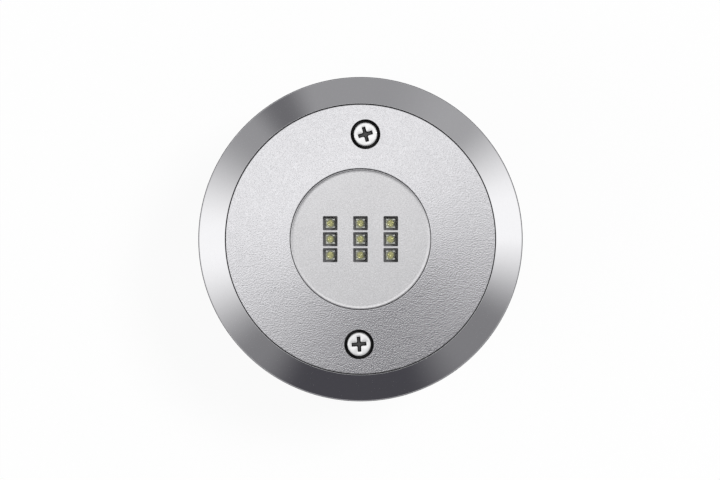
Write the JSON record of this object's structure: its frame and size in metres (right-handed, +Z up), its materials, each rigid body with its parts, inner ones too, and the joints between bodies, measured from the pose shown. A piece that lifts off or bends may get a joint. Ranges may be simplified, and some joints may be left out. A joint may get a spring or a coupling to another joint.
{
  "type": "in-ground light",
  "caption": "Round in-ground light with a bevelled steel trim ring, screwed face plate, windowed LED grid, finned lamp body and ground sleeve.",
  "frame": {"origin": "middle of the sleeve's foot, on the ground-side rim", "axes": "+Z up out of the ground, where the light leaves; +Y towards the upper cover screw, +X to the right as seen from above"},
  "size_m": [0.1105, 0.1104, 0.0853],
  "materials": {
    "polished_steel": "mirror-polished stainless bevel",
    "blasted_steel": "bead-blasted stainless",
    "satin_steel": "fine satin stainless",
    "screw_steel": "bright stainless",
    "spring_steel": "rolled spring steel",
    "cast_aluminium": "die-cast, lightly blasted",
    "nickel_brass": "nickel-plated",
    "black_polyamide": "glass-filled, moulded",
    "black_rubber": "matt",
    "grey_silicone": "satin",
    "clear_glass": "toughened, clear",
    "clear_silicone": "clear dome",
    "yellow_phosphor": "matt",
    "led_ceramic": "white ceramic with silver pads",
    "dark_board": "dark solder mask on a metal core",
    "thermal_pad": "matt silicone pad",
    "green_board": "solder mask on glass laminate",
    "ferrite": "pressed ferrite",
    "capacitor_sleeve": "shrunk sleeve on an aluminium can",
    "chip_epoxy": "moulded epoxy",
    "terminal_green": "moulded polyamide",
    "red_lead": "silicone insulation",
    "black_lead": "silicone insulation",
    "tinned_copper": "tinned pad"
  },
  "bodies": {
    "sleeve": {"sleeve": "black_polyamide", "bedding_gasket": "black_rubber"},
    "lamp_unit": {"trim_ring": "polished_steel", "grid_plate": "satin_steel", "window_pane": "clear_glass", "trim_bead": "black_rubber", "grid_bead": "black_rubber", "pane_seal": "grey_silicone", "grid_gasket": "grey_silicone", "led_packages": "led_ceramic", "led_chips": "yellow_phosphor", "led_domes": "clear_silicone", "emitter_board": "dark_board", "emitter_board_screws": "screw_steel", "thermal_pad": "thermal_pad", "housing": "cast_aluminium", "lead_grommet": "black_rubber", "rear_cover": "cast_aluminium", "rear_seal": "black_rubber", "rear_screws": "screw_steel", "gland_body": "nickel_brass", "gland_washer": "black_rubber", "gland_seal": "black_rubber", "vent_plug": "black_polyamide", "retaining_springs": "spring_steel", "spring_screws": "screw_steel", "driver_standoffs": "nickel_brass", "driver_board": "green_board", "driver_screws": "screw_steel", "power_inductor": "ferrite", "capacitors": "capacitor_sleeve", "driver_chip": "chip_epoxy", "rectifier": "chip_epoxy", "terminal_block": "terminal_green", "terminal_screws": "screw_steel", "lead_red": "red_lead", "lead_black": "black_lead", "solder_pads": "tinned_copper"},
    "front_cover": {"face_plate": "blasted_steel"},
    "upper_washer": {"upper_screw_washer": "black_rubber"},
    "upper_screw": {"upper_cover_screw": "screw_steel"},
    "lower_washer": {"lower_screw_washer": "black_rubber"},
    "lower_screw": {"lower_cover_screw": "screw_steel"},
    "gland_ring": {"gland_slip_ring": "black_polyamide"},
    "gland_nut": {"gland_nut": "nickel_brass"}
  },
  "joints": [
    {"name": "lamp_lift", "type": "slide", "parent": "sleeve", "child": "lamp_unit", "axis": [0, 0, 1], "range_m": [0, 0.085]},
    {"name": "cover_lift", "type": "slide", "parent": "lamp_unit", "child": "front_cover", "axis": [0, 0, 1], "range_m": [0, 0.03]},
    {"name": "upper_washer_rise", "type": "slide", "parent": "front_cover", "child": "upper_washer", "axis": [0, 0, 1], "range_m": [0, 0.0095]},
    {"name": "upper_screw_turn", "type": "hinge", "parent": "upper_washer", "child": "upper_screw", "pos_m": [0.00167, 0.03551, 0.0788], "axis": [0, 0, 1], "range_deg": [0, 4888.7]},
    {"name": "lower_washer_rise", "type": "slide", "parent": "front_cover", "child": "lower_washer", "axis": [0, 0, 1], "range_m": [0, 0.0095]},
    {"name": "lower_screw_turn", "type": "hinge", "parent": "lower_washer", "child": "lower_screw", "pos_m": [-0.0005, -0.03555, 0.0788], "axis": [0, 0, 1], "range_deg": [0, 4888.7]},
    {"name": "gland_ring_travel", "type": "slide", "parent": "lamp_unit", "child": "gland_ring", "axis": [0, 0, -1], "range_m": [0, 0.00375]},
    {"name": "gland_nut_turn", "type": "hinge", "parent": "gland_ring", "child": "gland_nut", "pos_m": [0, 0, 0.0066], "axis": [0, 0, -1], "range_deg": [0, 903]}
  ],
  "couplings": [
    {"joint": "upper_screw_turn", "follows": "upper_washer_rise", "rad_per_m": 8976},
    {"joint": "lower_screw_turn", "follows": "lower_washer_rise", "rad_per_m": 8976},
    {"joint": "gland_nut_turn", "follows": "gland_ring_travel", "rad_per_m": 4188.8}
  ]
}
